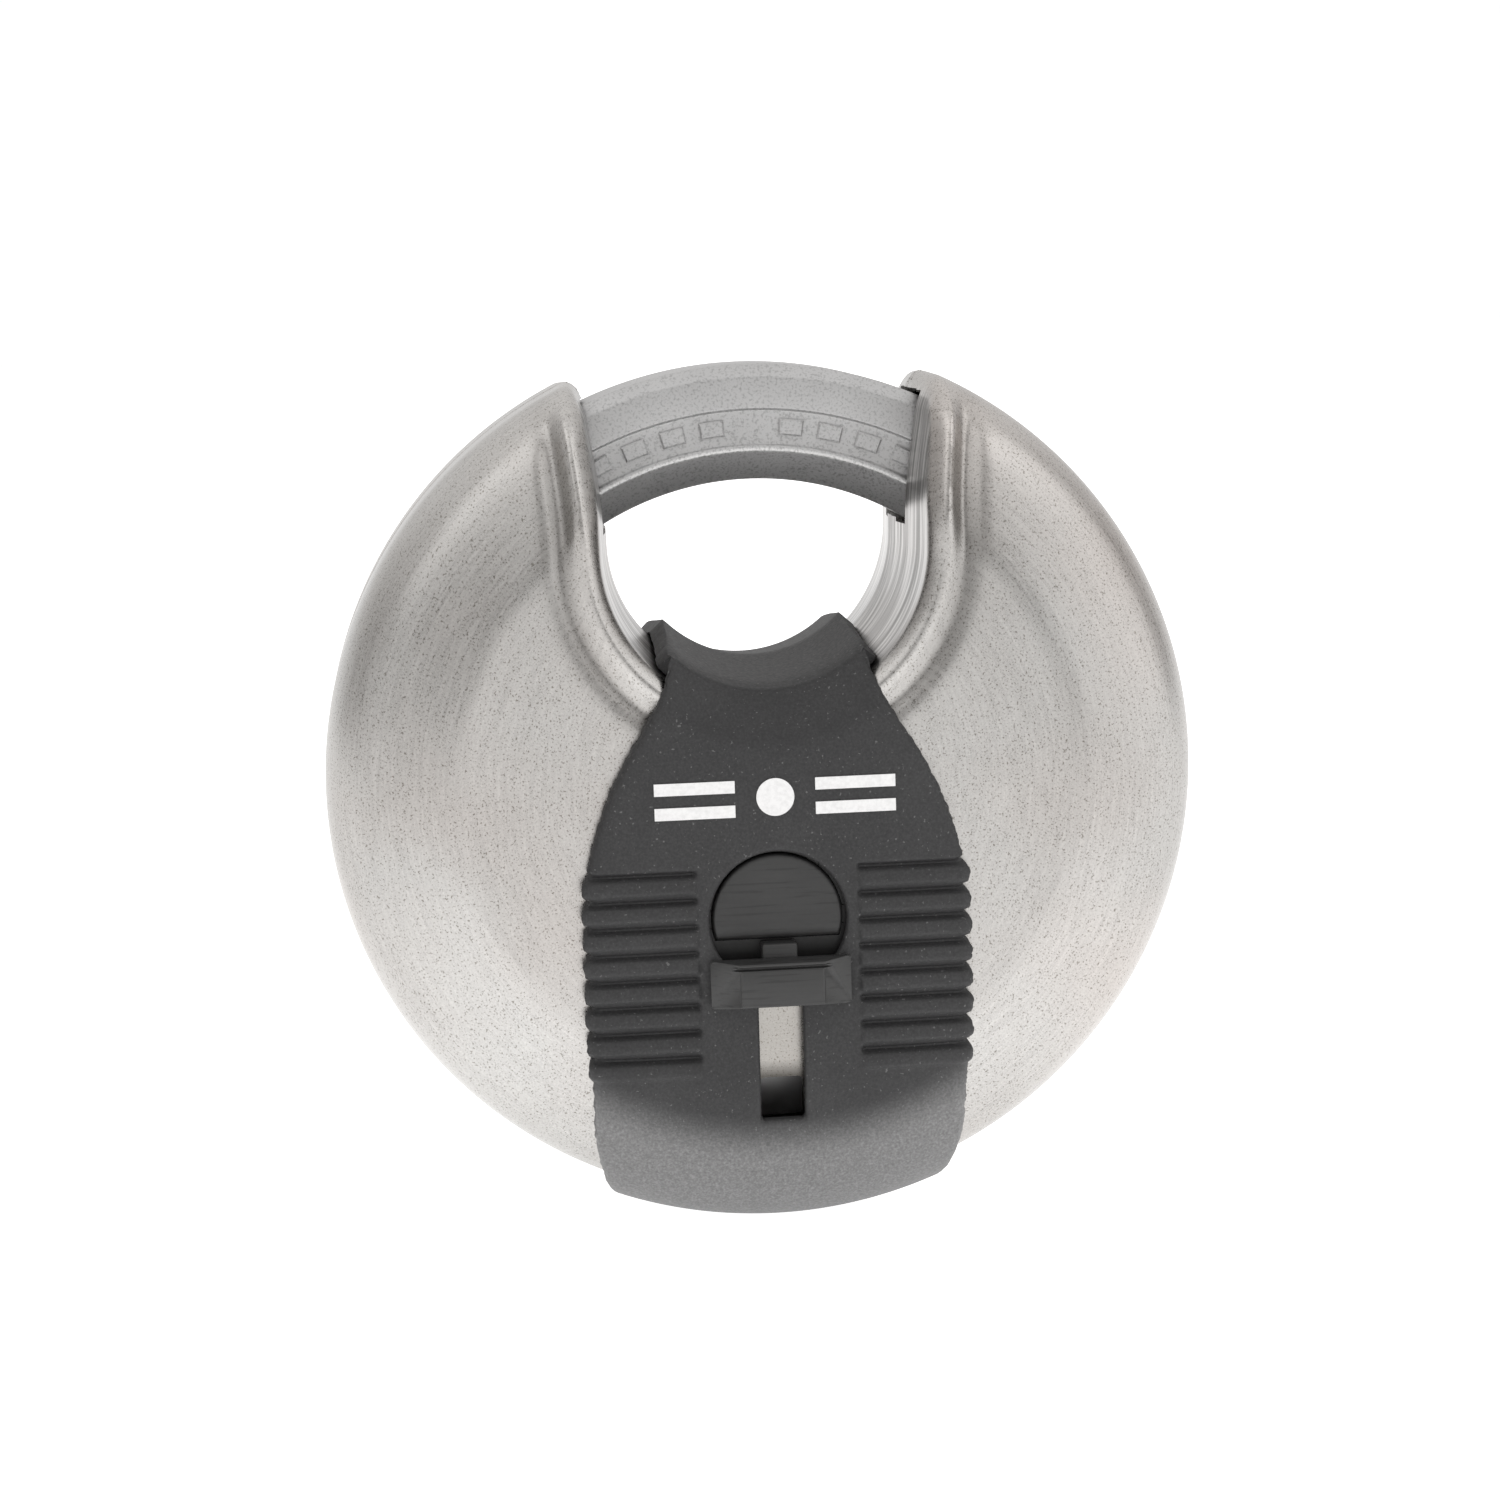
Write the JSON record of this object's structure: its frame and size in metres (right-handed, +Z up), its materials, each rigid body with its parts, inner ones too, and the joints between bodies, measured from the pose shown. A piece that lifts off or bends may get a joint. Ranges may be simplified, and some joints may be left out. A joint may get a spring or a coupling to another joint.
{
  "type": "disc padlock",
  "caption": "Round shrouded padlock: stamped steel case, sliding arc shackle turned by a keyed plug, rubber jacket with a sliding keyway shutter.",
  "frame": {"origin": "inner crown of the shackle on the lock's mid plane, where the hasp bears", "axes": "+Z up through the shackle, -Y out of the keyed front face, +X to the right seen from the front"},
  "size_m": [0.08, 0.0363, 0.079],
  "materials": {
    "case_steel": "fine satin stainless sheet",
    "shackle_steel": "fine blasted alloy steel",
    "jacket_rubber": "moulded matte rubber",
    "white_print": "flat white print",
    "shutter_black": "smooth moulded plastic",
    "grip_black": "smooth moulded plastic",
    "plug_brass": "machined",
    "brass_parts": "machined",
    "plate_steel": "zinc plated",
    "hard_steel": "hardened, dark",
    "pin_steel": "ground",
    "spring_steel": "spring steel"
  },
  "bodies": {
    "case": {"front_shell": "case_steel", "rear_shell": "case_steel", "weather_jacket": "jacket_rubber", "front_mark": "white_print", "anti_drill_plate": "hard_steel", "front_guide_plate": "plate_steel", "guide_core": "plate_steel", "rear_guide_plate": "plate_steel", "guide_posts": "plate_steel", "cylinder_housing": "brass_parts", "chamber_cap": "brass_parts", "driver_pins": "pin_steel", "driver_springs": "spring_steel"},
    "plug": {"plug": "plug_brass", "key_pins": "plug_brass", "plug_clip": "spring_steel", "crank_lever": "hard_steel", "crank_pin": "hard_steel", "crank_screw": "pin_steel"},
    "shackle": {"shackle": "shackle_steel", "drive_lug": "hard_steel", "lug_rivets": "pin_steel"},
    "shutter": {"shutter_plate": "shutter_black", "shutter_link": "shutter_black", "shutter_grip": "grip_black"}
  },
  "joints": [
    {"name": "shackle_turn", "type": "hinge", "parent": "case", "child": "shackle", "pos_m": [0, 0, -0.027], "axis": [0, 1, 0], "range_deg": [0, 68]},
    {"name": "plug_turn", "type": "hinge", "parent": "case", "child": "plug", "pos_m": [0, 0, -0.0385], "axis": [0, 1, 0], "range_deg": [0, 136]},
    {"name": "shutter_slide", "type": "slide", "parent": "case", "child": "shutter", "axis": [0, 0, -1], "range_m": [0, 0.0105]}
  ],
  "couplings": [
    {"joint": "plug_turn", "follows": "shackle_turn", "ratio": 2}
  ]
}
